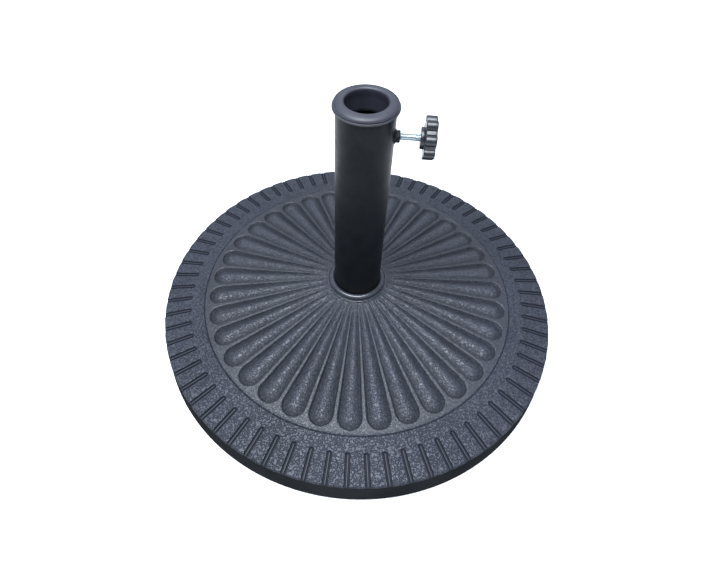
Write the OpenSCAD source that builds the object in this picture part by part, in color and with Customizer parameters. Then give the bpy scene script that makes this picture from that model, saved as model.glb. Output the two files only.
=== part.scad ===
// Parasol base: a ballasted round disc with a petal relief, an upright tube and
// a clamp screw that grips the pole of a parasol.
// Millimetres. +Z is up, the origin is on the ground at the middle of the tube,
// and the clamp screw points along +X.

/* [Disc] */
// Radius of the disc at its top edge
disc_r = 240; // [236:1:250]
// Height of the top edge above the ground
edge_z = 32; // [31:1:35]
// Rise of the dome from the top edge to the flat seat round the tube
dome_rise = 25.6; // [22:0.2:29]
// How much larger the bottom radius is than the top one
side_draft = 2.6; // [1:0.2:4]
// Wall thickness of the moulded shell
skin = 6.6; // [6:0.2:7.4]
// Gap between the shell's bottom edge and the ground
ground_gap = 2; // [1.6:0.2:2.8]

/* [Relief] */
// Number of petals round the dome
petal_count = 35; // [28:1:38]
// Radius of the petals' round outer ends
petal_tip_r = 185.3; // [178:0.1:187]
// Share of its sector that a petal and the valley round it fill
petal_fill = 0.86; // [0.78:0.01:0.88]
// Depth of the valley round each petal
valley_depth = 4; // [2.4:0.1:4.4]
// Radius of the thin groove round the petals
groove_r = 191; // [189:0.5:194]
// Radius at which the short slots of the rim start
slot_start_r = 207; // [202:0.5:212]
// Width of each rim slot
slot_w = 5.5; // [4.6:0.1:6]
// Thickness of the rib along the middle of a slot
slot_rib = 1.7; // [1.2:0.1:2]

/* [Tube and cap] */
// Outer radius of the upright tube
tube_r = 27.7; // [27.2:0.1:28.2]
// Wall thickness of the tube
tube_wall = 1.5; // [1.2:0.1:1.8]
// Height of the whole base
total_h = 306; // [290:1:340]
// Radius of the hole that takes the parasol's pole
pole_hole_r = 20; // [19.5:0.1:21]
// Radius of the cap's flange
cap_r = 30.5; // [30:0.1:31.5]
// Height of the part of the cap above the tube
cap_flange = 6.6; // [5.6:0.2:8]
// Depth of the cap's sleeve inside the tube
cap_sleeve = 17.4; // [14:0.2:18]

/* [Clamp screw] */
// Distance of the screw's axis below the top of the cap
screw_drop = 34.8; // [31.6:0.2:40]
// Diameter of the screw
screw_d = 6.35; // [6:0.05:6.4]
// Distance from the tube's axis to the welded nut's outer face
nut_face_x = 32.4; // [31.5:0.1:34]
// Length of bare screw between the nut and the knob
screw_gap = 18.1; // [17.9:0.1:24]
// Diameter of the knob over its lobes
knob_d = 41; // [38:0.5:46]
// Number of lobes on the knob
knob_lobes = 7; // [5:1:8]
// Thickness of the knob's lobed part
knob_t = 10.5; // [9:0.5:13]

/* [Fixings] */
// Number of screws that hold the bottom cover
cover_screw_count = 6; // [4:1:8]
// Diameter of the anchor bolt
anchor_d = 12; // [10:1:12]
// Radius of each rubber foot
foot_r = 15; // [12:1:18]

/* [Hidden] */
$fn = 96;

// Clearances
gap = 0.3;          // between the casting, the shell and the cover
weld_gap = 0.05;    // between parts that are welded or pressed together
run_gap = 0.06;     // round a shaft that turns in its hole

// Dome
dome_power = 0.8;
dome_steps = 7;
edge_round = 1.5;
seat_r = 38.2;              // outer radius of the flat seat round the tube
seat_z = edge_z + dome_rise;
shell_hole_r = tube_r + gap;

// Levels under the dome
cover_z = ground_gap + 2;   // underside of the bottom cover
cover_t = 3;
cover_top = cover_z + cover_t;
cover_hole_r = 22;
tube_foot_z = cover_z + 42;
tube_in_r = tube_r - tube_wall;

// Relief
pitch = 360 / petal_count;
petal_start_r = 40;
full_depth_r = 130;         // from here outwards the valleys have their full depth
slot_pitch = pitch / 2;
sky_z = seat_z + 30;        // any height above the dome
groove_w = 1.6;
groove_depth = 0.9;
slot_depth = 2;

// Fixings
cover_screw_r = 222;
boss_post_r = 6;
cover_shank_r = 1.75;
foot_ring_r = 205;
foot_count = 6;
end_plate_t = 4;
anchor_nut_h = 10;
anchor_af = anchor_d * 19 / 12;
anchor_head_h = 8;
washer_t = 2.5;
spring_t = 3;
counterbore_r = 19;
counterbore_z = tube_foot_z - 24;

// Cap
cap_lip = 2.5;
cap_under = total_h - cap_flange;

// Clamp screw
screw_z = total_h - screw_drop;
nut_af = 11.1;
nut_corner_r = nut_af / 2 / cos(30);
screw_end_x = 25;           // where the full thread ends inside the tube
tip_r = 4.5;
tip_front_x = 21.9;
tip_back_x = 24.9;
neck_r = 1.6;
button_r = 2;
button_t = 0.8;
knob_x = nut_face_x + screw_gap;
hub_r = 10;
hub_t = 3.5;
lobe_r = 5.3;
head_t = 4;
head_x = knob_x + hub_t + 3;
knob_turn = 37;

// Height of the dome at radius r, before the relief is cut
function dome_z(r) =
  let (outer = pow(disc_r, dome_power), inner = pow(seat_r, dome_power))
    edge_z + dome_rise * (outer - pow(max(r, seat_r), dome_power)) / (outer - inner);
function mix(a, b, t) = a + (b - a) * t;
// Radii from the top edge to the seat
top_radii = [for (i = [0 : dome_steps]) mix(disc_r - edge_round, seat_r, i / dome_steps)];
// A quarter circle's points, centre c, from angle a to angle b
function arc(c, r, a, b, n) = [for (i = [0 : n]) c + r * [cos(mix(a, b, i / n)), sin(mix(a, b, i / n))]];

// ---- Disc ----

module shell_outline() {
  wall_x = disc_r + side_draft;
  edge_centre = [disc_r - edge_round, dome_z(disc_r - edge_round) - edge_round];
  outside = [[wall_x, ground_gap], [disc_r, edge_centre[1] - edge_round]];
  rounded = arc(edge_centre, edge_round, 0, 90, 3);
  above = [for (i = [1 : dome_steps]) [top_radii[i], dome_z(top_radii[i])]];
  hole = [[shell_hole_r, seat_z], [shell_hole_r, seat_z - skin]];
  below = [for (i = [dome_steps : -1 : 1]) [top_radii[i], dome_z(top_radii[i]) - skin]];
  inside = [[disc_r - skin, dome_z(disc_r - skin) - skin], [wall_x - skin, ground_gap]];
  polygon(concat(outside, rounded, above, hole, below, inside));
}

module around(count, r, start = 0) {
  for (i = [0 : count - 1])
    rotate(start + i * 360 / count)
      translate([r, 0, 0])
        children();
}

// One petal's outline, a share `fill` of its sector, with a round outer end
module petal_outline(fill, start_r) {
  half = atan(fill * tan(pitch / 2));
  centre_r = petal_tip_r / (1 + sin(atan(petal_fill * tan(pitch / 2))));
  side_r = centre_r * cos(half);
  polygon([
    start_r * [cos(half), -sin(half)],
    side_r * [cos(half), -sin(half)],
    side_r * [cos(half), sin(half)],
    start_r * [cos(half), sin(half)]]);
  translate([centre_r, 0])
    circle(r = centre_r * sin(half), $fn = 48);
}

module valleys() {
  for (i = [0 : petal_count - 1])
    rotate((i + 0.5) * pitch)
      difference() {
        petal_outline(petal_fill, petal_start_r);
        petal_outline(petal_fill * 0.76, petal_start_r + 3);
      }
}

module slots() {
  for (i = [0 : 2 * petal_count - 1])
    rotate(i * slot_pitch)
      difference() {
        union() {
          translate([slot_start_r + slot_w / 2, 0])
            circle(d = slot_w, $fn = 32);
          translate([slot_start_r + slot_w / 2, -slot_w / 2])
            square([disc_r - slot_start_r + 10, slot_w]);
        }
        translate([slot_start_r + slot_w / 2, -slot_rib / 2])
          square([disc_r - slot_start_r + 12, slot_rib]);
      }
}

// Everything above a surface that lies up to `depth` under the dome, out to `outer_r`.
// The surface comes nearer to the dome towards the middle.
module above_dome(depth, outer_r) {
  radii = concat([outer_r], [for (r = top_radii) if (r < outer_r) r]);
  rotate_extrude()
    polygon(concat(
      [for (r = radii) [r, dome_z(r) - depth * min(1, r / full_depth_r)]],
      [[seat_r, sky_z], [outer_r, sky_z]]));
}

module cut_pattern(depth, outer_r) {
  intersection() {
    linear_extrude(sky_z)
      children();
    above_dome(depth, outer_r);
  }
}

module base_shell() {
  color("#42454d")
    difference() {
      union() {
        rotate_extrude()
          shell_outline();
        around(cover_screw_count, cover_screw_r, 30)
          translate([0, 0, cover_top])
            cylinder(r = boss_post_r, h = dome_z(cover_screw_r) - cover_top - 2.5, $fn = 48);
      }
      around(cover_screw_count, cover_screw_r, 30)
        translate([0, 0, cover_top - 1])
          cylinder(r = cover_shank_r + run_gap, h = 15, $fn = 32);
      cut_pattern(valley_depth, petal_tip_r + 2)
        valleys();
      cut_pattern(slot_depth, disc_r + 6)
        slots();
      rotate_extrude()
        translate([groove_r - groove_w / 2, dome_z(groove_r) - groove_depth])
          square([groove_w, 10]);
    }
}

module concrete_core() {
  wall_x = disc_r + side_draft - skin - gap;
  core_radii = [for (i = [dome_steps : -1 : 1]) top_radii[i]];
  color("#8d8d88")
    difference() {
      rotate_extrude()
        polygon(concat(
          [[wall_x - 0.3, cover_top], [0, cover_top], [0, seat_z - skin - gap]],
          [for (r = core_radii) [r, dome_z(r) - skin - gap]],
          [[disc_r - skin - gap, dome_z(disc_r - skin) - skin - gap]]));
      around(cover_screw_count, cover_screw_r, 30)
        translate([0, 0, cover_top - 1])
          cylinder(r = boss_post_r + gap, h = 40, $fn = 48);
      translate([0, 0, tube_foot_z])
        cylinder(r = tube_r + gap, h = 40);
      cylinder(r = anchor_d / 2 + 0.75, h = 60, $fn = 48);
      translate([0, 0, cover_top - 1])
        cylinder(r = counterbore_r, h = counterbore_z - cover_top + 1);
    }
}

module bottom_cover() {
  color("#2b2c2f")
    difference() {
      translate([0, 0, cover_z])
        cylinder(r = disc_r + side_draft - skin - gap - 0.5, h = cover_t);
      translate([0, 0, cover_z - 1])
        cylinder(r = cover_hole_r, h = cover_t + 2);
      around(cover_screw_count, cover_screw_r, 30)
        translate([0, 0, cover_z - 1])
          cylinder(r = cover_shank_r + 0.4, h = cover_t + 2, $fn = 32);
    }
}

module cover_screws() {
  color("#b9bcc0")
    around(cover_screw_count, cover_screw_r, 30) {
      translate([0, 0, cover_z - 1.8])
        difference() {
          cylinder(r = 4, h = 1.8, $fn = 32);
          translate([-3, -0.5, -1])
            cube([6, 1, 1.8]);
          translate([-0.5, -3, -1])
            cube([1, 6, 1.8]);
        }
      translate([0, 0, cover_z])
        cylinder(r = cover_shank_r, h = cover_t + 12, $fn = 32);
    }
}

module foot(i) {
  color("#1b1b1c")
    rotate((i - 1) * 360 / foot_count)
      translate([foot_ring_r, 0, 0])
        rotate_extrude()
          polygon([[0, 0], [foot_r - 1, 0], [foot_r, 1], [foot_r, cover_z], [0, cover_z]]);
}

// ---- Upright ----

module collar_ring() {
  inner_r = tube_r + 0.25;
  lip_r = seat_r - 1.2;
  crease_r = lip_r - 2.8;
  bead_r = 3;
  bead = [inner_r + bead_r, seat_z + 2.8];
  color("#4a4d55")
    rotate_extrude()
      polygon(concat(
        [[inner_r, seat_z], [lip_r, seat_z], [lip_r, seat_z + 0.8], [lip_r - 1, seat_z + 1.4]],
        [[crease_r, seat_z + 1.1]],
        arc(bead, bead_r, 0, 160, 8),
        [[inner_r, bead[1]]]));
}

module tube() {
  color("#25272b")
    difference() {
      translate([0, 0, tube_foot_z])
        cylinder(r = tube_r, h = cap_under - tube_foot_z);
      translate([0, 0, tube_foot_z - 1])
        cylinder(r = tube_in_r, h = cap_under - tube_foot_z + 2);
      along_screw(tube_in_r - 4)
        cylinder(d = screw_d + 0.8, h = tube_wall + 8, $fn = 48);
    }
}

module tube_end_plate() {
  color("#55585c")
    translate([0, 0, tube_foot_z])
      difference() {
        cylinder(r = tube_in_r - weld_gap, h = end_plate_t);
        translate([0, 0, -1])
          cylinder(r = anchor_d / 2 + 0.5, h = end_plate_t + 2, $fn = 48);
      }
}

module hex_nut(af, h, hole_r) {
  difference() {
    intersection() {
      cylinder(r = af / 2 / cos(30), h = h, $fn = 6);
      rotate_extrude($fn = 64)
        polygon([[0, 0], [af / 2, 0], [af / 2 + 1.2, 0.7], [af / 2 + 1.2, h - 0.7], [af / 2, h], [0, h]]);
    }
    translate([0, 0, -1])
      cylinder(r = hole_r, h = h + 2, $fn = 64);
  }
}

module anchor_nut() {
  color("#9a9da1")
    translate([0, 0, tube_foot_z + end_plate_t])
      hex_nut(anchor_af, anchor_nut_h, anchor_d / 2 + run_gap);
}

module anchor_bolt() {
  head_z = counterbore_z - washer_t - spring_t - anchor_head_h;
  shank = tube_foot_z + end_plate_t + anchor_nut_h + 1.5 - head_z - anchor_head_h;
  color("#b4b8bc")
    translate([0, 0, head_z]) {
      cylinder(r = anchor_af / 2 / cos(30), h = anchor_head_h, $fn = 6);
      translate([0, 0, anchor_head_h])
        cylinder(d = anchor_d, h = shank, $fn = 64);
    }
}

module spring_washer() {
  color("#a7abb0")
    translate([0, 0, counterbore_z - washer_t - spring_t])
      difference() {
        cylinder(r = anchor_d / 2 + 4.4, h = spring_t, $fn = 64);
        translate([0, 0, -1])
          cylinder(r = anchor_d / 2 + 0.2, h = spring_t + 2, $fn = 64);
        rotate([25, 0, 0])
          translate([0, -1, -5])
            cube([20, 1.6, 20]);
      }
}

module flat_washer() {
  color("#b9bdc2")
    translate([0, 0, counterbore_z - washer_t])
      difference() {
        cylinder(r = counterbore_r - 1, h = washer_t);
        translate([0, 0, -1])
          cylinder(r = anchor_d / 2 + 0.5, h = washer_t + 2, $fn = 64);
      }
}

module tube_cap() {
  step_r = cap_r - 1;
  step_z = cap_under + 2;
  shoulder = 2.6;
  top = total_h;
  color("#3a3d44")
    rotate_extrude()
      polygon(concat(
        [[pole_hole_r, cap_under - cap_sleeve], [tube_in_r - 0.1, cap_under - cap_sleeve]],
        [[tube_in_r - 0.1, cap_under], [cap_r - 0.4, cap_under], [cap_r, cap_under + 0.4]],
        [[cap_r, step_z - 0.4], [cap_r - 0.4, step_z], [step_r, step_z]],
        arc([step_r - shoulder, top - 0.5 - shoulder], shoulder, 0, 80, 4),
        arc([pole_hole_r + cap_lip, top - cap_lip], cap_lip, 90, 180, 6)));
}

// ---- Clamp screw ----

// Places children on the screw's axis at x, with their +Z along +X
module along_screw(x) {
  translate([x, 0, screw_z])
    rotate([0, 90, 0])
      children();
}

module clamp_nut() {
  weld_t = 1.8;
  root_x = tube_in_r;
  color("#2f3136")
    difference() {
      along_screw(root_x)
        union() {
          hex_nut(nut_af, nut_face_x - root_x, screw_d / 2 + run_gap);
          cylinder(r = nut_corner_r + 0.5, h = tube_wall + weld_t, $fn = 48);
        }
      along_screw(root_x - 1)
        cylinder(r = screw_d / 2 + run_gap, h = 20, $fn = 64);
      translate([0, 0, screw_z - 20])
        cylinder(r = tube_r + weld_gap, h = 40);
    }
}

// Nylon pad that snaps over the screw's end and swivels on it
module screw_tip() {
  color("#d8d4c8")
    along_screw(tip_front_x)
      difference() {
        rotate_extrude($fn = 64)
          polygon([[0, 0], [tip_r - 0.6, 0], [tip_r, 0.6], [tip_r, tip_back_x - tip_front_x],
                   [0, tip_back_x - tip_front_x]]);
        translate([0, 0, 0.9])
          cylinder(r = button_r + run_gap, h = button_t + 0.2, $fn = 48);
        translate([0, 0, 1.8])
          cylinder(r = neck_r + run_gap, h = 5, $fn = 48);
      }
}

module clamp_screw() {
  color("#c9d0d6") {
    along_screw(tip_front_x + 1)
      cylinder(r = button_r, h = button_t, $fn = 48);
    along_screw(tip_front_x + 1 + button_t)
      cylinder(r = neck_r, h = screw_end_x - tip_front_x - 1 - button_t, $fn = 48);
    along_screw(screw_end_x)
      cylinder(d = screw_d, h = head_x - screw_end_x, $fn = 64);
    along_screw(head_x)
      cylinder(r = nut_corner_r, h = head_t, $fn = 6);
  }
}

module knob_outline() {
  lobe_centre_r = knob_d / 2 - lobe_r;
  circle(r = lobe_centre_r + 0.6, $fn = 64);
  for (i = [0 : knob_lobes - 1])
    rotate(knob_turn + i * 360 / knob_lobes)
      translate([lobe_centre_r, 0])
        circle(r = lobe_r, $fn = 40);
}

module knob() {
  color("#33353b")
    difference() {
      along_screw(knob_x)
        union() {
          cylinder(r = hub_r, h = hub_t + 1);
          translate([0, 0, hub_t])
            linear_extrude(knob_t)
              knob_outline();
        }
      along_screw(knob_x - 1)
        cylinder(r = screw_d / 2 + weld_gap, h = head_x - knob_x + 1.5, $fn = 64);
      along_screw(head_x - weld_gap)
        cylinder(r = nut_corner_r + weld_gap, h = head_t + 2 * weld_gap, $fn = 6);
    }
}

base_shell();
concrete_core();
bottom_cover();
cover_screws();
foot(1);  // foot_1
foot(2);  // foot_2
foot(3);  // foot_3
foot(4);  // foot_4
foot(5);  // foot_5
foot(6);  // foot_6
collar_ring();
tube();
tube_end_plate();
anchor_nut();
anchor_bolt();
spring_washer();
flat_washer();
tube_cap();
clamp_nut();
screw_tip();
clamp_screw();
knob();
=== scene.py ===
# Looks of the parasol base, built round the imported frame. Metres, +Z up, the clamp screw along +X.
import math

import bmesh
import bpy
import numpy as np
from mathutils import Matrix, Vector


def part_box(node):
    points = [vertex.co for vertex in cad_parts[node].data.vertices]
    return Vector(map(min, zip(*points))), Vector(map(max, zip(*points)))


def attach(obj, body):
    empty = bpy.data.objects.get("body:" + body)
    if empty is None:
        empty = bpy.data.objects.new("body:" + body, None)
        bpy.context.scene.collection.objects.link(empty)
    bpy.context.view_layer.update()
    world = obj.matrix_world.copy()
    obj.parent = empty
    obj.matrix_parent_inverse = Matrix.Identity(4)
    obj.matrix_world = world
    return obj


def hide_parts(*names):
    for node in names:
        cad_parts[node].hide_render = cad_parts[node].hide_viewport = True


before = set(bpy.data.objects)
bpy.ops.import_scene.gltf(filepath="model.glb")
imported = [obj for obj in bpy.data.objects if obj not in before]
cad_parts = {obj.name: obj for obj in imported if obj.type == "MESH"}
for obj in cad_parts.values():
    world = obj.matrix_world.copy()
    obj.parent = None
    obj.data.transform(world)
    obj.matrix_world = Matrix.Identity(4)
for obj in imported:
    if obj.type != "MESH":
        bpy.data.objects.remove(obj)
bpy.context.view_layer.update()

MM = 0.001
TAU = 2 * math.pi

# ---- Sizes, from the frame ----

shell_lo, shell_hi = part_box("base_shell")
tube_lo, tube_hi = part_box("tube")
cap_lo, cap_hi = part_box("tube_cap")
nut_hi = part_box("clamp_nut")[1]
screw_lo, screw_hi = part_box("clamp_screw")
knob_lo, knob_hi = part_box("knob")
tip_lo, tip_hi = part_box("screw_tip")
cover_lo, cover_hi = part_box("bottom_cover")

SIDE_DRAFT = 2.6 * MM        # how far the side wall leans out on its way down
BOTTOM_R = shell_hi.x
DISC_R = BOTTOM_R - SIDE_DRAFT
GROUND_GAP = shell_lo.z
SEAT_Z = shell_hi.z
TUBE_R = tube_hi.x
TUBE_IN_R = TUBE_R - 1.5 * MM
CAP_R = cap_hi.x
CAP_TOP = cap_hi.z
CAP_BOTTOM = cap_lo.z
CAP_UNDER = tube_hi.z
POLE_R = 20 * MM
SCREW_R = 3.175 * MM
NUT_FLAT = 5.55 * MM         # from the nut's middle to a flat
SCREW_Z = (screw_lo.z + screw_hi.z) / 2
NUT_FACE_X = nut_hi.x
KNOB_X = knob_lo.x
KNOB_END_X = knob_hi.x

# ---- The dome and its relief: part.scad's outlines, with rounder petals and slots ----

EDGE_Z = 32 * MM
DOME_RISE = SEAT_Z - EDGE_Z
DOME_POWER = 0.8
SEAT_R = 38.2 * MM
SKIN = 6.6 * MM

PETALS = 35
PITCH = TAU / PETALS
PETAL_TIP_R = 185.3 * MM
PETAL_FILL = 0.86            # a petal's share of its pitch
PETAL_START_R = 38.4 * MM
VALLEY_DEPTH = 3.9 * MM
VALLEY_SHARE = 0.17          # where the valley's bottom lies, as a share of the petal's half width
SHOULDER_SHARE = 0.05        # how far the web's rounded shoulder reaches outside the petal
PETAL_CREST = 0.5 * MM       # height of a petal's crest against the dome
GROOVE_R = 191 * MM
GROOVE_HALF = 1.15 * MM
GROOVE_DEPTH = 0.95 * MM
SLOT_START_R = 207 * MM
SLOT_HALF = 2.75 * MM
RIB_HALF = 0.85 * MM
SLOT_DEPTH = 2.3 * MM
RIB_DROP = 0.45 * MM         # a slot's rib below the dome
PANEL_RISE = 0.28 * MM       # how far the panel between two slots bulges
EDGE_ROUND = 2.4 * MM


def smooth(t):
    """0 to 1, with no slope at either end."""
    t = np.clip(t, 0, 1)
    return t * t * (3 - 2 * t)


def mix(a, b, t):
    return a + (b - a) * t


def dome_z(r):
    """Height of the dome with no relief on it."""
    outer = DISC_R ** DOME_POWER
    inner = SEAT_R ** DOME_POWER
    return EDGE_Z + DOME_RISE * (outer - np.maximum(r, SEAT_R) ** DOME_POWER) / (outer - inner)


def arc(cx, cy, r, start, end, steps):
    """Points of an arc round (cx, cy), angles in degrees, as (radius, height) pairs."""
    angles = np.radians(np.linspace(start, end, steps + 1))
    return [(cx + r * math.cos(a), cy + r * math.sin(a)) for a in angles]


# ---- Mesh helpers ----

def make_piece(name, verts, faces, material, body, nodes=(), sharp=35, merge=0.0):
    """A mesh piece that rides on a body, stands for CAD nodes and has smooth shading up to an angle."""
    mesh = bpy.data.meshes.new(name)
    mesh.from_pydata([tuple(v) for v in np.asarray(verts, float)], [], [tuple(f) for f in faces])
    if merge:
        work = bmesh.new()
        work.from_mesh(mesh)
        bmesh.ops.remove_doubles(work, verts=work.verts, dist=merge)
        bmesh.ops.dissolve_degenerate(work, edges=work.edges, dist=merge)
        bmesh.ops.recalc_face_normals(work, faces=work.faces)
        work.to_mesh(mesh)
        work.free()
    mesh.polygons.foreach_set("use_smooth", [True] * len(mesh.polygons))
    mesh.set_sharp_from_angle(angle=math.radians(sharp))
    mesh.materials.append(material)
    piece = bpy.data.objects.new(name, mesh)
    bpy.context.scene.collection.objects.link(piece)
    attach(piece, body)
    if nodes:
        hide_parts(*nodes)
    return piece


def grid_faces(rows, columns, close_rows=False):
    """Quads of a grid whose columns run round and meet."""
    row = np.arange(rows if close_rows else rows - 1)[:, None] * columns
    next_row = (row + columns) % (rows * columns)
    col = np.arange(columns)[None, :]
    next_col = (col + 1) % columns
    quads = np.stack([row + col, row + next_col, next_row + next_col, next_row + col], -1)
    return quads.reshape(-1, 4)


def to_screw_axis(points):
    """Turns (x, y, z) about +Z into a piece about the screw's axis: local z becomes +X."""
    points = np.asarray(points, float)
    return np.stack([points[:, 2], points[:, 1], SCREW_Z - points[:, 0]], 1)


def lathe(name, outline, material, body, nodes=(), segments=160, ring=True, about_screw=False,
          sharp=35, centre=(0.0, 0.0)):
    """Turns an outline of (radius, height) points. A ring's outline closes on itself."""
    angles = np.linspace(0, TAU, segments, endpoint=False)
    r = np.array([p[0] for p in outline])[:, None]
    z = np.array([p[1] for p in outline])[:, None]
    verts = np.stack([r * np.cos(angles), r * np.sin(angles), z + 0 * angles], -1).reshape(-1, 3)
    verts = to_screw_axis(verts) if about_screw else verts + np.array([centre[0], centre[1], 0.0])
    faces = grid_faces(len(outline), segments, close_rows=ring)
    return make_piece(name, verts, faces, material, body, nodes, sharp, merge=1e-7)


def add_attribute(piece, name, values):
    layer = piece.data.attributes.new(name, "FLOAT", "POINT")
    layer.data.foreach_set("value", np.asarray(values, np.float32).ravel())


# ---- Materials ----

def new_material(name, color, roughness, metallic=0.0, specular=0.5):
    """A Principled material. What is the same all over is set on the shader's own sockets."""
    mat = bpy.data.materials.new(name)
    mat.use_nodes = True
    shader = mat.node_tree.nodes["Principled BSDF"]
    shader.inputs["Base Color"].default_value = (*color, 1)
    shader.inputs["Roughness"].default_value = roughness
    shader.inputs["Metallic"].default_value = metallic
    shader.inputs["Specular IOR Level"].default_value = specular
    return mat, mat.node_tree, shader


def add_node(tree, kind, inputs=None, **settings):
    node = tree.nodes.new(kind)
    for key, value in settings.items():
        setattr(node, key, value)
    for key, value in (inputs or {}).items():
        if isinstance(value, bpy.types.NodeSocket):
            tree.links.new(value, node.inputs[key])
        else:
            node.inputs[key].default_value = value
    return node


def noise(tree, scale, detail=4.0, rough=0.55, distortion=0.0):
    """Noise fixed to the object: scale is in features a metre."""
    where = add_node(tree, "ShaderNodeTexCoord").outputs["Object"]
    node = add_node(tree, "ShaderNodeTexNoise", {
        "Vector": where, "Scale": scale, "Detail": detail, "Roughness": rough, "Distortion": distortion})
    return node.outputs["Fac"]


def pebbles(tree, scale, waviness, crease):
    """Rounded cells parted by narrow creases: 1 on a cell and 0 in a crease. Scale is in cells a metre."""
    where = add_node(tree, "ShaderNodeTexCoord").outputs["Object"]
    wander = add_node(tree, "ShaderNodeTexNoise", {"Vector": where, "Scale": scale * 0.45, "Detail": 1.0})
    centred = add_node(tree, "ShaderNodeVectorMath", {0: wander.outputs["Color"], 1: (0.5, 0.5, 0.5)},
                       operation="SUBTRACT")
    shift = add_node(tree, "ShaderNodeVectorMath", {0: centred.outputs[0], "Scale": waviness / scale},
                     operation="SCALE")
    moved = add_node(tree, "ShaderNodeVectorMath", {0: where, 1: shift.outputs[0]}, operation="ADD")
    node = add_node(tree, "ShaderNodeTexVoronoi", {"Vector": moved.outputs[0], "Scale": scale},
                    feature="DISTANCE_TO_EDGE")
    ramp = add_node(tree, "ShaderNodeMapRange", {"Value": node.outputs["Distance"], "From Min": 0.0,
                                                 "From Max": crease}, interpolation_type="SMOOTHSTEP")
    return ramp.outputs["Result"]


def wrinkles(tree, scale, width):
    """Wavy leather: 1 on the raised folds and 0 in the winding creases between them."""
    value = noise(tree, scale, 1.2, 0.5, 0.5)
    away = math_node(tree, "ABSOLUTE", math_node(tree, "SUBTRACT", value, 0.5), 0.0)
    ramp = add_node(tree, "ShaderNodeMapRange", {"Value": away, "From Min": 0.0, "From Max": width},
                    interpolation_type="SMOOTHSTEP")
    return ramp.outputs["Result"]


def remap(tree, value, low, high, out_low=0.0, out_high=1.0):
    node = add_node(tree, "ShaderNodeMapRange", {
        "Value": value, "From Min": low, "From Max": high, "To Min": out_low, "To Max": out_high})
    return node.outputs["Result"]


def math_node(tree, operation, a, b):
    return add_node(tree, "ShaderNodeMath", {0: a, 1: b}, operation=operation).outputs[0]


def mix_color(tree, factor, a, b):
    node = add_node(tree, "ShaderNodeMix", data_type="RGBA")
    for key, value in ((0, factor), (6, a), (7, b)):
        if isinstance(value, bpy.types.NodeSocket):
            tree.links.new(value, node.inputs[key])
        else:
            node.inputs[key].default_value = value if key == 0 else (*value, 1)
    return node.outputs[2]


def attribute(tree, name):
    return add_node(tree, "ShaderNodeAttribute", attribute_name=name).outputs["Fac"]


def edge_wear(tree, low=0.52, high=0.6):
    """1 on worn convex edges, broken up by noise."""
    pointy = add_node(tree, "ShaderNodeNewGeometry").outputs["Pointiness"]
    chips = remap(tree, noise(tree, 420), 0.4, 0.65)
    return math_node(tree, "MULTIPLY", remap(tree, pointy, low, high), chips)


def bump(tree, shader, height, strength, distance):
    node = add_node(tree, "ShaderNodeBump", {"Height": height, "Strength": strength, "Distance": distance})
    tree.links.new(node.outputs["Normal"], shader.inputs["Normal"])


def shell_grain(tree, grain):
    """The leather grain: the folds alone, and the whole height with its finer pebbles and dust."""
    folds = wrinkles(tree, 350, 0.12)
    small = pebbles(tree, 800, 1.0, 0.35)
    fine = noise(tree, 1500, 2.0, 0.5)
    height = math_node(tree, "ADD", folds, math_node(tree, "MULTIPLY", small, 0.25))
    height = math_node(tree, "MULTIPLY", height, grain)
    return folds, math_node(tree, "ADD", height, math_node(tree, "MULTIPLY", fine, 0.12))


def rim_zone(tree):
    """0 inside the groove and 1 outside it, by the distance from the middle of the disc."""
    where = add_node(tree, "ShaderNodeTexCoord").outputs["Object"]
    far = add_node(tree, "ShaderNodeVectorMath", {0: where}, operation="LENGTH").outputs["Value"]
    return remap(tree, far, GROOVE_R - 1 * MM, GROOVE_R + 5 * MM)


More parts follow.
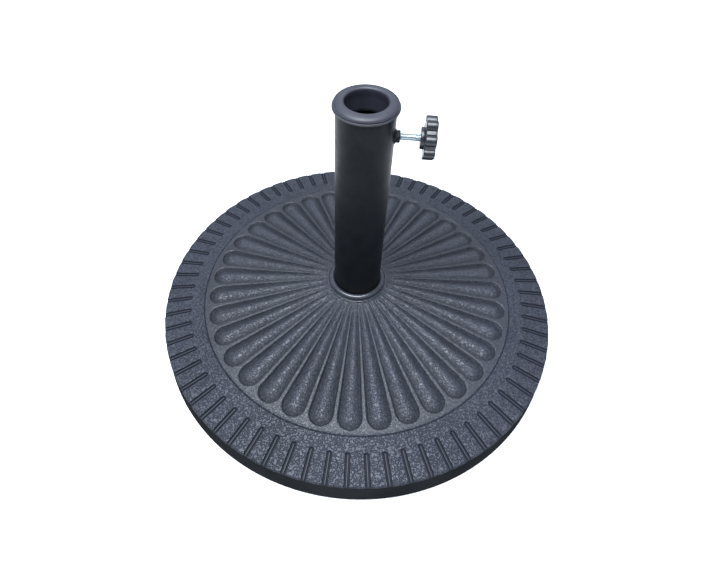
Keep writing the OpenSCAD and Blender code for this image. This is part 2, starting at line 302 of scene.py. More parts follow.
def shell_material():
    """Moulded resin: leather grain on top, less on the webs, none in the slots and on the side wall."""
    pale, paler = (0.027, 0.031, 0.044), (0.037, 0.042, 0.06)
    crease_shade_color = (0.006, 0.007, 0.01)
    painted_shade_color = (0.004, 0.005, 0.007)
    worn_color = (0.11, 0.12, 0.15)
    wall_shade_dark, wall_shade_light = (0.012, 0.0135, 0.015), (0.0185, 0.02, 0.0215)
    mat, tree, shader = new_material("shell_resin", (0.03, 0.034, 0.046), 0.4)
    grain = attribute(tree, "grain")
    side = attribute(tree, "side")
    valley = attribute(tree, "valley")
    rim = rim_zone(tree)
    folds, height = shell_grain(tree, grain)
    bump(tree, shader, height, 1.0, 0.38 * MM)
    # Colour: patches, then painted shade in the grain's creases, on the webs and in the valleys, and paler
    # worn edges
    top = mix_color(tree, remap(tree, noise(tree, 9, 3.0), 0.3, 0.7), pale, paler)
    # Painted shade: the grain's creases are painted darker, and the whole top a little
    crease = math_node(tree, "MULTIPLY", math_node(tree, "SUBTRACT", 0.75, folds), grain)
    crease = math_node(tree, "ADD", crease, 0.25)
    top = mix_color(tree, math_node(tree, "MULTIPLY", crease, 0.6), top, crease_shade_color)
    # Painted shade on the webs between the petals, inside the groove
    bare = math_node(tree, "SUBTRACT", 1.0, grain)
    web = math_node(tree, "MULTIPLY", bare, math_node(tree, "SUBTRACT", 1.0, rim))
    top = mix_color(tree, math_node(tree, "MULTIPLY", web, 0.7), top, painted_shade_color)
    # Painted shade in the petals' valleys, the slots and the groove, darker where they are deeper
    top = mix_color(tree, math_node(tree, "MULTIPLY", valley, 0.6), top, painted_shade_color)
    worn = math_node(tree, "MULTIPLY", edge_wear(tree, 0.58, 0.72), 0.12)
    top = mix_color(tree, worn, top, worn_color)
    # The side wall is painted darker than the top: painted shade on the side, with random tone
    wall = mix_color(tree, remap(tree, noise(tree, 14, 3.0), 0.35, 0.65), wall_shade_dark, wall_shade_light)
    tree.links.new(mix_color(tree, side, top, wall), shader.inputs["Base Color"])
    # Gloss: dull in the valleys and on the wall, less shine in creases and on the rim
    gloss = remap(tree, noise(tree, 60, 4.0), 0.3, 0.7, 0.4, 0.48)
    rough = math_node(tree, "MULTIPLY", math_node(tree, "MAXIMUM", valley, side), 0.25)
    tree.links.new(math_node(tree, "ADD", gloss, rough), shader.inputs["Roughness"])
    shine = remap(tree, math_node(tree, "MAXIMUM", crease, valley), 0.0, 1.0, 0.64, 0.36)
    wall_loss = math_node(tree, "MULTIPLY", side, -0.46)
    rim_loss = math_node(tree, "MULTIPLY", rim, -0.2)
    shine = math_node(tree, "ADD", shine, math_node(tree, "ADD", wall_loss, rim_loss))
    tree.links.new(shine, shader.inputs["Specular IOR Level"])
    return mat


def plastic_material(name, color, roughness, peel, specular=0.5, speckle=900):
    """Smooth moulded or painted surface with fine orange peel, mottling and worn edges."""
    mat, tree, shader = new_material(name, color, roughness, specular=specular)
    light = tuple(min(1.0, c * 1.25 + 0.002) for c in color)
    dark = tuple(c * 0.82 for c in color)
    tone = mix_color(tree, remap(tree, noise(tree, 45, 4.0), 0.3, 0.7), dark, light)
    worn = tuple(min(1.0, c * 2.6 + 0.03) for c in color)
    tone = mix_color(tree, math_node(tree, "MULTIPLY", edge_wear(tree), 0.22), tone, worn)
    tree.links.new(tone, shader.inputs["Base Color"])
    sheen = remap(tree, noise(tree, 130, 5.0), 0.3, 0.7, roughness - 0.06, roughness + 0.07)
    tree.links.new(sheen, shader.inputs["Roughness"])
    bump(tree, shader, noise(tree, speckle, 3.0, 0.5), peel, 0.12 * MM)
    return mat


def metal_material(name, color, roughness):
    """Plated or raw steel with dull patches, uneven gloss and fine scratches."""
    mat, tree, shader = new_material(name, color, roughness, metallic=1.0)
    dull = tuple(c * 0.72 for c in color)
    tone = mix_color(tree, remap(tree, noise(tree, 160, 5.0), 0.35, 0.7), color, dull)
    tree.links.new(tone, shader.inputs["Base Color"])
    sheen = remap(tree, noise(tree, 300, 6.0, 0.6), 0.3, 0.7, roughness - 0.08, roughness + 0.12)
    tree.links.new(sheen, shader.inputs["Roughness"])
    bump(tree, shader, noise(tree, 700, 4.0, 0.6), 0.25, 0.05 * MM)
    return mat


def concrete_material():
    """Cast concrete: sandy, with pits, which are painted darker as painted shade."""
    mat, tree, shader = new_material("concrete", (0.4, 0.39, 0.36), 0.9)
    sand = noise(tree, 500, 8.0, 0.7)
    tone = mix_color(tree, remap(tree, sand, 0.35, 0.7), (0.3, 0.29, 0.27), (0.5, 0.49, 0.45))
    pits = pebbles(tree, 200, 1.0, 0.3)
    # Painted shade in the pits
    tree.links.new(mix_color(tree, pits, (0.2, 0.19, 0.18), tone), shader.inputs["Base Color"])
    tree.links.new(remap(tree, sand, 0.3, 0.7, 0.8, 0.97), shader.inputs["Roughness"])
    bump(tree, shader, math_node(tree, "ADD", sand, pits), 0.8, 0.5 * MM)
    return mat


RESIN = shell_material()
COLLAR = plastic_material("collar_plastic", (0.03, 0.0335, 0.045), 0.27, peel=0.1, specular=0.65)
PAINT = plastic_material("powder_coat", (0.0052, 0.0062, 0.0082), 0.38, peel=0.5, specular=0.09, speckle=1300)
CAP_PLASTIC = plastic_material("cap_plastic", (0.026, 0.0275, 0.04), 0.52, peel=0.15)
KNOB_PLASTIC = plastic_material("knob_plastic", (0.013, 0.0145, 0.02), 0.27, peel=0.2)
COVER_PLASTIC = plastic_material("cover_plastic", (0.025, 0.026, 0.029), 0.6, peel=0.6)
RUBBER = plastic_material("rubber", (0.017, 0.017, 0.018), 0.75, peel=0.8, specular=0.3)
NYLON = plastic_material("nylon", (0.66, 0.63, 0.56), 0.45, peel=0.2)
ZINC = metal_material("zinc_steel", (0.56, 0.68, 0.73), 0.36)
STEEL = metal_material("raw_steel", (0.46, 0.46, 0.47), 0.42)
CONCRETE = concrete_material()

for node_name, material in (("concrete_core", CONCRETE), ("cover_screws", ZINC), ("tube_end_plate", STEEL),
                            ("anchor_nut", STEEL), ("anchor_bolt", ZINC), ("spring_washer", ZINC),
                            ("flat_washer", ZINC)):
    cad_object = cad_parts[node_name]
    cad_object.data.materials.clear()
    cad_object.data.materials.append(material)


# ---- The disc's shell ----

COLUMNS_PER_HALF = 24        # mesh columns from a petal's middle to the middle of the web beside it


def petal_columns():
    """Where the columns lie from a petal's middle, 0, to the web's, 1: close together at the valley."""
    flank_start = 0.6
    flank_end = PETAL_FILL + 0.03
    crest = np.linspace(0, flank_start, 11)[:-1]
    flank = np.linspace(flank_start, flank_end, 12)[:-1]
    web = np.linspace(flank_end, 1, 4)
    return np.concatenate([crest, flank, web])


def slot_columns(half_pitch):
    """Distances from a slot's middle to the middle of the panel beside it: close together at its edges."""
    slot = np.array([0.0, 0.55, 0.85, 1.15, 1.65, 2.2, 2.55, 2.95, 3.6]) * MM
    panel = [slot[-1] + (half_pitch - slot[-1]) * share for share in (0.25, 0.5, 0.75, 1.0)]
    return np.array([*(s + 0 * half_pitch for s in slot), *panel])


def column_angles(r):
    """The angle of each mesh column at radius r: in step with the petals, and at the rim with the slots."""
    count = 2 * COLUMNS_PER_HALF * PETALS
    index = np.arange(count)
    from_petal = (index + COLUMNS_PER_HALF) % (2 * COLUMNS_PER_HALF) - COLUMNS_PER_HALF
    petal = (index - from_petal) * PITCH / (2 * COLUMNS_PER_HALF)
    along = petal_columns()
    petal_angle = petal + np.sign(from_petal) * along[abs(from_petal)] * PITCH / 2
    per_slot = COLUMNS_PER_HALF
    from_slot = (index + per_slot // 2) % per_slot - per_slot // 2
    slot = (index - from_slot) * PITCH / (2 * COLUMNS_PER_HALF)
    across = slot_columns(r * PITCH / 4) / r
    slot_angle = slot + np.sign(from_slot) * across[abs(from_slot)]
    blend = smooth((r - 192.5 * MM) / (11 * MM))
    return mix(petal_angle, slot_angle, blend) + PITCH / 2


def petal_share(r, angle):
    """0 at a petal's outline and 1 at its middle line, and its local half width. Below 0 is the web."""
    turn = np.mod(angle, PITCH) - PITCH / 2
    x = r * np.cos(turn)
    y = abs(r * np.sin(turn))
    half = math.atan(PETAL_FILL * math.tan(PITCH / 2))
    centre = PETAL_TIP_R / (1 + math.sin(half))
    end_r = centre * math.sin(half)
    foot = np.minimum(x + y * math.tan(half), centre)
    side = (x * math.sin(half) - y * math.cos(half)) / (foot * math.sin(half))
    end = 1 - np.hypot(x - centre, y) / end_r
    beyond = (x - centre) * math.cos(half) + y * math.sin(half) > 0
    return np.where(beyond, end, side), foot * math.sin(half)


def petal_relief(r, angle):
    """Height of the petals against the dome, how deep in the valley a point is, and 1 inside a petal."""
    share, half_width = petal_share(r, angle)
    out = r - PETAL_START_R
    depth = VALLEY_DEPTH * np.clip(half_width / (10 * MM), 0.18, 1)
    depth = depth * (0.25 + 0.75 * smooth(out / (26 * MM))) * smooth(out / (3 * MM))
    wall = -depth * smooth((share + SHOULDER_SHARE) / (VALLEY_SHARE + SHOULDER_SHARE))
    inner = np.clip((share - VALLEY_SHARE) / (1 - VALLEY_SHARE), 0, 1)
    crest = PETAL_CREST * smooth(half_width / (8 * MM))
    rod = -depth + (depth + crest) * np.sin(inner * np.pi / 2) ** 1.15
    height = np.where(share < VALLEY_SHARE, wall, rod)
    deep = np.clip(-height / VALLEY_DEPTH, 0, 1)
    return height, deep, smooth(share / 0.06 + 0.5)


def slot_relief(r, angle):
    """Height of the rim's slots and ribs against the dome, 1 inside a slot, and how deep in it a point is."""
    pitch = PITCH / 2
    turn = np.mod(angle + pitch / 2, pitch) - pitch / 2
    x = r * np.cos(turn) - SLOT_START_R
    y = abs(r * np.sin(turn))
    head = np.hypot(np.minimum(x - SLOT_HALF, 0), y)
    inside = SLOT_HALF - head
    trough = -SLOT_DEPTH * smooth((inside + 0.25 * MM) / (0.95 * MM))
    rib_gap = 2.4 * MM           # from the slot's end to the rib's
    rib_end = np.hypot(np.minimum(x - rib_gap, 0), y)
    rib = smooth((RIB_HALF + 0.3 * MM - rib_end) / (0.5 * MM))
    height = mix(trough, -RIB_DROP, rib)
    height = np.where(inside < -0.3 * MM, 0, np.minimum(height, 0))
    reach = smooth((x + 3 * MM) / (6 * MM))
    across = np.clip((y - SLOT_HALF) / (7.5 * MM), 0, 1)
    panel = PANEL_RISE * np.sin(np.pi / 2 * across) * reach
    in_slot = smooth((inside + 0.3 * MM) / (0.4 * MM))
    deep = np.clip(0.3 * in_slot - 0.8 * height / SLOT_DEPTH, 0, 1)
    return height + np.where(inside < 0, panel, 0), in_slot, deep


def waves(angle, seed, lowest, count):
    """A smooth random line round a circle, about -1 to 1, the same each run."""
    draw = np.random.default_rng(seed)
    total = 0 * angle
    for k in range(count):
        size = math.cos(draw.uniform(0, TAU))
        start = draw.uniform(0, TAU)
        total = total + size * np.cos((lowest + 7 * k) * angle + start)
    return total / math.sqrt(count)


def ring_stretch(start, end, step):
    """Evenly spaced radii from start up to end, without end. The sizes are in mm."""
    count = max(1, int(round(abs(end - start) / step)))
    return list(np.linspace(start, end, count + 1)[:-1] * MM)


def top_rings():
    """Radii of the mesh's rings from the edge to the hole, closer together where the relief is fine."""
    stretches = ((237.4, 212, 1.5), (212, 205, 0.5), (205, 192.6, 2.0), (192.6, 189.4, 0.27),
                 (189.4, 186.6, 0.9), (186.6, 171, 0.55), (171, 158, 1.5), (158, 60, 3.2),
                 (60, 44, 1.6), (44, 38.2, 0.7))
    rings = [r for stretch in stretches for r in ring_stretch(*stretch)]
    return rings + [SEAT_R, SEAT_R - 2 * MM]


def side_wall(wall_top):
    """Outline of the side wall, from inside the ground edge up to the rolled edge."""
    foot = 1.0 * MM
    outline = [(BOTTOM_R - SKIN + 0.6 * MM, GROUND_GAP), (BOTTOM_R - foot, GROUND_GAP)]
    outline += arc(BOTTOM_R - foot, GROUND_GAP + foot, foot, -60, 0, 3)
    for share in (0.15, 0.4, 0.65, 0.85, 1.0):
        tuck = 0.25 * MM if share == 1.0 else 0.0
        outline.append((mix(BOTTOM_R, DISC_R, share) - tuck, mix(GROUND_GAP + foot, wall_top, share)))
    return outline


def hollow_outline():
    """Outline of the hole for the tube and the hollow underneath, without relief."""
    hole_r = TUBE_R + 0.3 * MM
    ease = 0.5 * MM
    outline = [(hole_r + ease, SEAT_Z), (hole_r, SEAT_Z - ease), (hole_r, SEAT_Z - SKIN)]
    for r in np.array([38.2, 42, 47, 80, 120, 160, 200, 233.4]) * MM:
        outline.append((r, float(dome_z(r)) - SKIN))
    return outline


def make_shell():
    """The moulded shell: relief on top, a rolled edge, a smooth side wall and a hollow underneath."""
    rows = []
    looks = {"grain": [], "side": [], "valley": []}

    def add_row(r, z, angle, **values):
        rows.append(np.stack([r * np.cos(angle), r * np.sin(angle), z + 0 * angle], -1))
        for name, store in looks.items():
            store.append(values.get(name, 0.0) + 0 * angle)

    rim_angle = column_angles(DISC_R)
    edge_z = float(dome_z(DISC_R - EDGE_ROUND))
    for r, z in side_wall(edge_z - EDGE_ROUND - 0.9 * MM):
        add_row(r, z, rim_angle, side=1.0)
    # Rolled edge: the slots and ribs run out over it, and it wanders a little
    wander = 0.22 * MM * waves(rim_angle, 3, 31, 12) + 0.12 * MM * waves(rim_angle, 5, 90, 12)
    height, in_slot, deep = slot_relief(DISC_R - 3 * MM + 0 * rim_angle, rim_angle)
    for step, angle in enumerate(np.radians([-14, 4, 22, 40, 58, 76, 88])):
        share = float(smooth((step + 1) / 7))
        round_r = EDGE_ROUND + height * share + wander * (1 - abs(2 * share - 1))
        r = DISC_R - EDGE_ROUND + round_r * math.cos(angle)
        z = edge_z - EDGE_ROUND + round_r * math.sin(angle)
        add_row(r, z, rim_angle, grain=(1 - in_slot) * share, side=1 - share, valley=deep * share)
    # Top
    for r in top_rings():
        angle = column_angles(r)
        radius = r + 0 * angle
        petal, deep, in_petal = petal_relief(radius, angle)
        slot, in_slot, slot_deep = slot_relief(radius, angle)
        groove = -GROOVE_DEPTH * smooth(1 - abs(r - GROOVE_R) / GROOVE_HALF)
        web = (1 - in_petal) * smooth((GROOVE_R - r) / (3 * MM))
        # The valley value drives painted shade and duller gloss in the valleys, slots and groove; grain also
        # marks the webs, which get painted shade
        add_row(radius, dome_z(radius) + petal + slot + groove, angle, grain=(1 - in_slot) * (1 - 0.5 * web),
                valley=np.maximum(np.maximum(deep ** 1.5, slot_deep), -groove / MM))
    for r, z in hollow_outline():
        add_row(r, z, column_angles(max(r, SEAT_R)), side=1.0)
    faces = grid_faces(len(rows), len(rim_angle), close_rows=True)
    piece = make_piece("shell_moulding", np.concatenate(rows), faces, RESIN, "base",
                       ["base_shell"], sharp=50)
    for name, values in looks.items():
        add_attribute(piece, name, np.concatenate(values))


# ---- Upright ----

def make_collar():
    """The smooth ring round the tube's foot: a thin lip, a crease and a round bead."""
    inner = TUBE_R + 0.25 * MM
    lip = SEAT_R - 1.2 * MM
    crease = lip - 2.9 * MM
    bead_r = 3.0 * MM
    bead = (inner + bead_r - 0.05 * MM, SEAT_Z + 2.8 * MM)
    outline = [(inner, SEAT_Z), (lip - 0.3 * MM, SEAT_Z)]
    outline += arc(lip - 0.7 * MM, SEAT_Z + 0.7 * MM, 0.7 * MM, -60, 100, 7)
    outline += [(lip - 1.6 * MM, SEAT_Z + 1.25 * MM), (crease + 0.7 * MM, SEAT_Z + 0.9 * MM),
                (crease + 0.3 * MM, SEAT_Z + 0.3 * MM), (crease - 0.9 * MM, SEAT_Z + 0.25 * MM)]
    outline += arc(*bead, bead_r, -44, 172, 28)
    outline += [(inner, bead[1])]
    return lathe("collar_trim", outline, COLLAR, "base", ["collar_ring"])


def make_tube():
    """The upright tube, with eased ends."""
    ease = 0.35 * MM
    outline = [(TUBE_IN_R, tube_lo.z + ease), (TUBE_IN_R + ease, tube_lo.z), (TUBE_R - ease, tube_lo.z)]
    low, high = tube_lo.z + ease, tube_hi.z - ease
    outline += [(TUBE_R, mix(low, high, share)) for share in np.linspace(0, 1, 9)]
    outline += [(TUBE_R - ease, tube_hi.z), (TUBE_IN_R + ease, tube_hi.z)]
    outline += [(TUBE_IN_R, mix(high, low, share)) for share in np.linspace(0, 0.9, 5)]
    return lathe("tube_wall", outline, PAINT, "base", ["tube"], segments=192)


def make_cap():
    """The cap: a sleeve in the tube, a thin flange, a groove and a domed top with a rounded mouth."""
    step_z = CAP_UNDER + 2.0 * MM
    sleeve_r = TUBE_IN_R - 0.1 * MM
    mouth_r = POLE_R - 0.4 * MM
    lip = 2.0 * MM
    dome_r = CAP_R - 0.9 * MM
    dome_foot = step_z + 0.7 * MM
    dome_power = 0.85            # below 1 the dome is squarer than an ellipse
    ease = 0.5 * MM
    lead = 0.8 * MM
    outline = [(POLE_R, CAP_BOTTOM + ease), (POLE_R + ease, CAP_BOTTOM), (sleeve_r - lead, CAP_BOTTOM),
               (sleeve_r, CAP_BOTTOM + lead), (sleeve_r, CAP_UNDER)]
    outline += arc(CAP_R - ease, CAP_UNDER + ease, ease, -90, 0, 4)
    outline += arc(CAP_R - ease, step_z - ease, ease, 0, 90, 4)
    outline += [(dome_r - 0.3 * MM, step_z - 0.05 * MM), (dome_r - 0.8 * MM, step_z + 0.2 * MM),
                (dome_r - 0.15 * MM, dome_foot - 0.1 * MM)]
    for turn in np.radians(np.linspace(4, 86, 22)):
        outline.append((mix(mouth_r + lip, dome_r, math.cos(turn) ** dome_power),
                        mix(dome_foot, CAP_TOP, math.sin(turn) ** dome_power)))
    outline += arc(mouth_r + lip, CAP_TOP - lip, lip, 90, 180, 12)
    outline += [(mouth_r, CAP_TOP - 5 * MM), (POLE_R, CAP_TOP - 7 * MM)]
    outline += [(POLE_R, mix(CAP_TOP, CAP_BOTTOM, share)) for share in (0.45, 0.65, 0.85)]
    return lathe("cap_moulding", outline, CAP_PLASTIC, "base", ["tube_cap"], sharp=50)


# ---- Clamp screw ----

KNOB_LOBES = 7


def hex_radius(angle, flat):
    """Radius of a hexagon with that distance from its middle to a flat, a corner at angle 0."""
    turn = np.mod(angle, TAU / 6) - TAU / 12
    return flat / np.cos(turn)


def make_nut():
    """The welded nut: a chamfered hexagon whose inner end follows the tube."""
    columns = 96
    angles = np.linspace(0, TAU, columns, endpoint=False)
    corner = hex_radius(angles, NUT_FLAT)
    hole = SCREW_R + 0.08 * MM
    # Rows as (share of the way from the tube to the face, radius)
    chamfer = np.minimum(corner, NUT_FLAT + 0.12 * MM)
    rows = [(0.0, hole + 0 * corner), (0.0, corner), (0.35, corner), (0.7, corner),
            (0.88, np.minimum(corner, NUT_FLAT + 0.55 * MM)), (0.96, chamfer), (1.0, chamfer - 0.15 * MM),
            (1.0, hole + 0.9 * MM + 0 * corner), (0.9, hole + 0 * corner)]
    verts = []
    for share, radius in rows:
        z = radius * np.cos(angles)
        y = radius * np.sin(angles)
        tube_x = np.sqrt(TUBE_R ** 2 - y ** 2) + 0.05 * MM
        verts.append(np.stack([mix(tube_x, NUT_FACE_X, share), y, SCREW_Z - z], -1))
    faces = grid_faces(len(rows), columns, close_rows=True)
    return make_piece("nut_body", np.concatenate(verts), faces, PAINT, "base",
                      ["clamp_nut"], sharp=25, merge=1e-7)


def make_weld():
    """The weld bead round the nut's foot, painted over, with the ripples of a hand weld."""
    columns = 144
    around = 12
    angles = np.linspace(0, TAU, columns, endpoint=False)
    lumps = 1 + 0.12 * waves(angles, 11, 5, 4) + 0.07 * np.cos(24 * angles)
    centre = mix(6.0 * MM, hex_radius(angles, NUT_FLAT), 0.35)
    bead_r = 1.25 * MM
    bead_rise = 1.05 * MM
    verts = []
    for turn in np.linspace(0, TAU, around, endpoint=False):
        radius = centre + bead_r * lumps * math.cos(turn)
        z = radius * np.cos(angles)
        y = radius * np.sin(angles)
        surface = np.sqrt(TUBE_R ** 2 - y ** 2)
        verts.append(np.stack([surface + bead_rise * lumps * math.sin(turn), y, SCREW_Z - z], -1))
    faces = grid_faces(around, columns, close_rows=True)
    return make_piece("nut_weld", np.concatenate(verts), faces, PAINT, "base", sharp=80)


def make_screw():
    """The screw: a rolled thread, a hexagonal head inside the knob and a neck for the tip."""
    pitch = 1.27 * MM
    columns = 48
    rows_per_turn = 12
    angles = np.linspace(0, TAU, columns, endpoint=False)
    start = 25 * MM
    end = KNOB_X + 0.5 * MM
    count = int(round((end - start) / pitch * rows_per_turn))
    depth = 0.32 * MM
    button_x = 22.9 * MM         # the button that the tip swivels on, and its neck
    button_r = 2.0 * MM
    neck_r = 1.6 * MM
    rows = [(button_x, 0.0), (button_x, button_r - 0.2 * MM), (button_x + 0.2 * MM, button_r),
            (button_x + 0.7 * MM, button_r), (button_x + 0.8 * MM, neck_r), (start, neck_r),
            (start, 2.4 * MM)]
    for i in range(count + 1):
        x = start + 0.05 * MM + (end - start) * i / count
        phase = np.mod(x / pitch - angles / TAU, 1)
        flank = np.clip(abs(2 * phase - 1) * 1.3 - 0.12, 0, 1)
        fade = min(1.0, (x - start) / (1.2 * MM), max(0.0, (end - x) / (0.8 * MM)))
        crest = SCREW_R - depth * mix(1.0 if x < start + 2 * MM else 0.15, smooth(flank), fade)
        rows.append((x, crest))
    head = KNOB_X + 6.5 * MM
    head_end = head + 4 * MM
    head_r = hex_radius(angles, 5.5 * MM)
    rows += [(head, SCREW_R), (head, head_r), (head_end, head_r), (head_end, 0.0)]
    verts = []
    for x, radius in rows:
        y = radius * np.cos(angles)
        z = SCREW_Z + radius * np.sin(angles)
        verts.append(np.stack([x + 0 * angles, y, z], -1))
    faces = grid_faces(len(rows), columns)
    return make_piece("screw_body", np.concatenate(verts), faces, ZINC, "thumbscrew",
                      ["clamp_screw"], sharp=40, merge=1e-7)


def knob_radius(angles):
    """Outline of the knob: round lobes with softly filled valleys."""
    lobes = KNOB_LOBES
    turn = math.radians(37)
    tip = 20.5 * MM
    lobe = 5.3 * MM
    centre = tip - lobe
    off = np.mod(angles - turn + TAU / lobes / 2, TAU / lobes) - TAU / lobes / 2
    inside = lobe ** 2 - (centre * np.sin(off)) ** 2
    reach = centre * np.cos(off) + np.sqrt(np.maximum(inside, 0))
    reach = np.where(inside > 0, reach, 0)
    core = 15.9 * MM
    soft = 0.9 * MM
    gap = np.clip((reach - core) / soft, -1, 1)
    return np.maximum(reach, core) + soft * (1 - abs(gap)) ** 2 / 4


def make_knob():
    """The lobed knob: hub, rounded lobes and a slightly domed face with a shallow dish."""
    columns = KNOB_LOBES * 36
    angles = np.linspace(0, TAU, columns, endpoint=False)
    outline = knob_radius(angles)
    hub = 10 * MM
    hub_round = 0.9 * MM
    bore = SCREW_R + 0.05 * MM
    back = KNOB_X + 3.5 * MM
    face = KNOB_END_X
    edge = 1.3 * MM
    turns = np.radians([0, 20, 40, 60, 80, 90])
    # Rows as (x, radius or inset from the lobes, how far the row follows the lobes)
    rows = [(KNOB_X + 0.4 * MM, bore, 0.0), (KNOB_X, bore + 0.5 * MM, 0.0)]
    rows += [(KNOB_X + hub_round - y, r, 0.0) for r, y in arc(hub - hub_round, 0, hub_round, 90, 0, 5)]
    rows += [(back - 0.5 * MM, hub + 0.05 * MM, 0.0), (back, hub + 0.6 * MM, 0.0),
             (back, hub + 1.2 * MM, 0.25), (back, -4.5 * MM, 1.0), (back, -2.2 * MM, 1.0)]
    rows += [(back + edge - edge * math.cos(a), -edge + edge * math.sin(a), 1.0) for a in turns]
    rows += [(mix(back + edge, face - edge, share), 0.0, 1.0) for share in (0.33, 0.66)]
    rows += [(face - edge + edge * math.sin(a), -edge + edge * math.cos(a), 1.0) for a in turns]
    rows += [(face, -2.4 * MM, 1.0), (face - 0.05 * MM, 12.2 * MM, 0.15), (face - 0.1 * MM, 11.4 * MM, 0.0),
             (face - 0.7 * MM, 10.6 * MM, 0.0), (face - 0.8 * MM, 9.8 * MM, 0.0),
             (face - 0.6 * MM, 6 * MM, 0.0), (face - 0.5 * MM, 0.0, 0.0)]
    verts = []
    for x, radius, star in rows:
        r = mix(radius, outline + min(radius, 0.0), star)
        verts.append(np.stack([x + 0 * angles, r * np.sin(angles), SCREW_Z - r * np.cos(angles)], -1))
    return make_piece("knob_body", np.concatenate(verts), grid_faces(len(rows), columns), KNOB_PLASTIC,
                      "thumbscrew", ["knob"], sharp=50, merge=1e-7)


def make_tip():
    """The nylon pad on the screw's inner end."""
    front = tip_lo.x
    back = tip_hi.x
    outer = tip_hi.y
    outline = [(0.0, front), (outer - 0.9 * MM, front)]
    outline += arc(outer - 0.6 * MM, front + 0.6 * MM, 0.6 * MM, -80, 0, 5)
    neck_r = 1.72 * MM           # the hole for the screw's neck, and the pocket for its button
    pocket_r = 2.1 * MM
    pocket_x = front + 0.9 * MM
    outline += [(outer, back - 0.3 * MM), (outer - 0.3 * MM, back), (2.0 * MM, back),
                (neck_r, back - 0.2 * MM), (neck_r, front + 1.9 * MM), (pocket_r, front + 1.8 * MM),
                (pocket_r, pocket_x), (0.0, pocket_x)]
    return lathe("tip_pad", outline, NYLON, "clamp_tip", ["screw_tip"], segments=64, ring=False,
                 about_screw=True)


# ---- Underside ----

def make_cover():
    """The bottom cover: a plate with raised rings and spokes moulded into its underside."""
    columns = 360
    hole = 22 * MM
    outer = cover_hi.x
    angles = np.linspace(0, TAU, columns, endpoint=False)
    spokes = 12
    spoke = smooth(1 - abs(np.mod(angles * spokes / TAU + 0.5, 1) - 0.5) / 0.06)
    rows = [(hole, cover_hi.z - 0.4 * MM + 0 * angles), (hole, cover_lo.z + 0.5 * MM + 0 * angles)]
    ring_r = 110 * MM
    for r in np.concatenate([np.linspace(hole + 0.5 * MM, 34 * MM, 6), np.linspace(38 * MM, 176 * MM, 60),
                             np.linspace(178 * MM, outer - 0.6 * MM, 30)]):
        panel = smooth((r - 36 * MM) / (3 * MM)) * smooth((184 * MM - r) / (3 * MM))
        ring = smooth(1 - abs(r - ring_r) / (4 * MM))
        sunk = 1.1 * MM * panel * (1 - np.maximum(spoke, ring))
        rows.append((r, cover_lo.z + sunk))
    rows += [(outer, cover_lo.z + 0.6 * MM + 0 * angles), (outer, cover_hi.z + 0 * angles),
             (hole + 0.4 * MM, cover_hi.z + 0 * angles)]
    verts = [np.stack([r * np.cos(angles), r * np.sin(angles), z], -1) for r, z in rows]
    return make_piece("cover_plate", np.concatenate(verts), grid_faces(len(rows), columns, close_rows=True),
                      COVER_PLASTIC, "base", ["bottom_cover"], sharp=30)


def make_feet():
    """Six rubber feet with ringed soles."""
    for i in range(1, 7):
        low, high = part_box(f"foot_{i}")
        radius = (high.x - low.x) / 2
        centre = ((low.x + high.x) / 2, (low.y + high.y) / 2)
        groove = 0.7 * MM
        outline = [(0.0, 0.0)]
        for ring in (4 * MM, 7.5 * MM, 11 * MM):
            outline += [(ring - groove, 0.0), (ring - 0.3 * MM, groove), (ring + 0.3 * MM, groove),
                        (ring + groove, 0.0)]
        outline += [(radius - 1.0 * MM, 0.0)]
        outline += arc(radius - 0.8 * MM, 0.8 * MM, 0.8 * MM, -60, 0, 4)
        outline += [(radius, high.z - 0.2 * MM), (radius - 0.2 * MM, high.z), (0.0, high.z)]
        lathe(f"rubber_foot_{i}", outline, RUBBER, "base", [f"foot_{i}"], segments=72, ring=False,
              centre=centre)


make_shell()
make_collar()
make_tube()
make_cap()
make_nut()
make_weld()
make_screw()
make_knob()
make_tip()
make_cover()
make_feet()


# ---- Stage, light and camera ----

def make_stage():
    """A plain pale floor."""
    mesh = bpy.data.meshes.new("stage_floor")
    size = 8.0
    corners = [(-size, -size, 0), (size, -size, 0), (size, size, 0), (-size, size, 0)]
    mesh.from_pydata(corners, [], [(0, 1, 2, 3)])
    mesh.materials.append(new_material("stage_floor", (0.93, 0.93, 0.93), 0.9, specular=0.2)[0])
    floor = bpy.data.objects.new("stage_floor", mesh)
    bpy.context.scene.collection.objects.link(floor)


DAYLIGHT = (0.87, 0.93, 1.0)


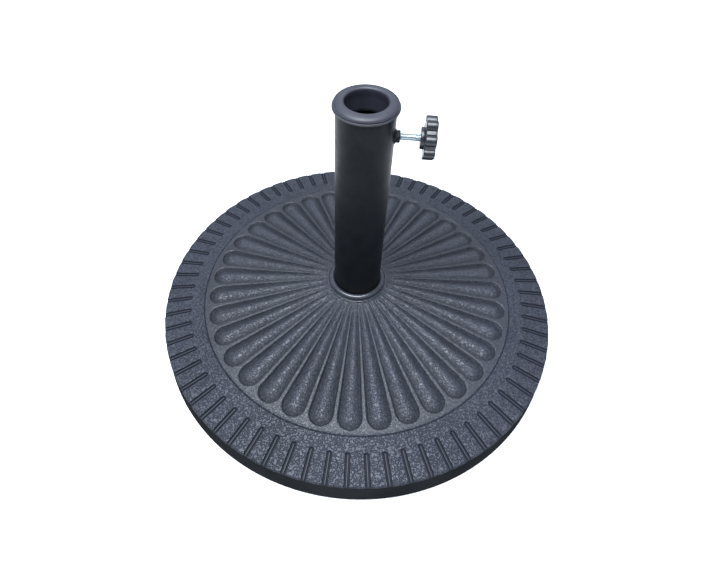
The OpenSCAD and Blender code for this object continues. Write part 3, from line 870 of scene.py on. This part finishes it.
def add_area(name, place, target, size, power):
    data = bpy.data.lights.new(name, "AREA")
    data.shape = "DISK"
    data.size = size
    data.energy = power
    data.color = DAYLIGHT
    light = bpy.data.objects.new(name, data)
    light.location = place
    light.rotation_mode = "QUATERNION"
    light.rotation_quaternion = (Vector(target) - Vector(place)).to_track_quat("-Z", "Y")
    bpy.context.scene.collection.objects.link(light)


def make_light():
    """One large soft light overhead and a little in front, a weak one behind, and an even pale surround."""
    bpy.context.scene.view_settings.view_transform = "Standard"
    world = bpy.data.worlds.new("surround")
    bpy.context.scene.world = world
    world.use_nodes = True
    background = world.node_tree.nodes["Background"]
    background.inputs["Color"].default_value = (*DAYLIGHT, 1)
    background.inputs["Strength"].default_value = 0.34
    add_area("key", place=(-0.2, -0.45, 2.2), target=(0, 0, 0.1), size=1.8, power=128)
    add_area("behind", place=(-0.2, 2.0, 1.9), target=(0, 0, 0.05), size=1.8, power=9)


def make_camera():
    """The camera: its place in disc radii, its aim in degrees, its lens for a 36 mm sensor."""
    back = 1.5854
    height = 2.2418
    yaw = math.radians(2.945)
    pitch = math.radians(49.813)
    roll = math.radians(0.8365)
    turn = Matrix.Rotation(math.radians(2.445), 3, "Z")
    right = Vector((math.cos(yaw), math.sin(yaw), 0))
    aim = Vector((-math.sin(yaw) * math.cos(pitch), math.cos(yaw) * math.cos(pitch), -math.sin(pitch)))
    up = right.cross(aim)
    across = math.cos(roll) * right + math.sin(roll) * up
    upward = -math.sin(roll) * right + math.cos(roll) * up
    data = bpy.data.cameras.new("camera")
    data.sensor_width = 36
    data.lens = 24.591
    data.shift_x = 0.02557
    data.shift_y = -0.03726
    data.clip_start = 0.01
    camera = bpy.data.objects.new("camera", data)
    spin = Matrix((turn @ across, turn @ upward, -(turn @ aim))).transposed()
    place = turn @ Vector((0, -back * DISC_R, height * DISC_R)) + Vector((0, 0, GROUND_GAP))
    camera.matrix_world = Matrix.Translation(place) @ spin.to_4x4()
    bpy.context.scene.collection.objects.link(camera)
    bpy.context.scene.camera = camera


make_stage()
make_light()
make_camera()
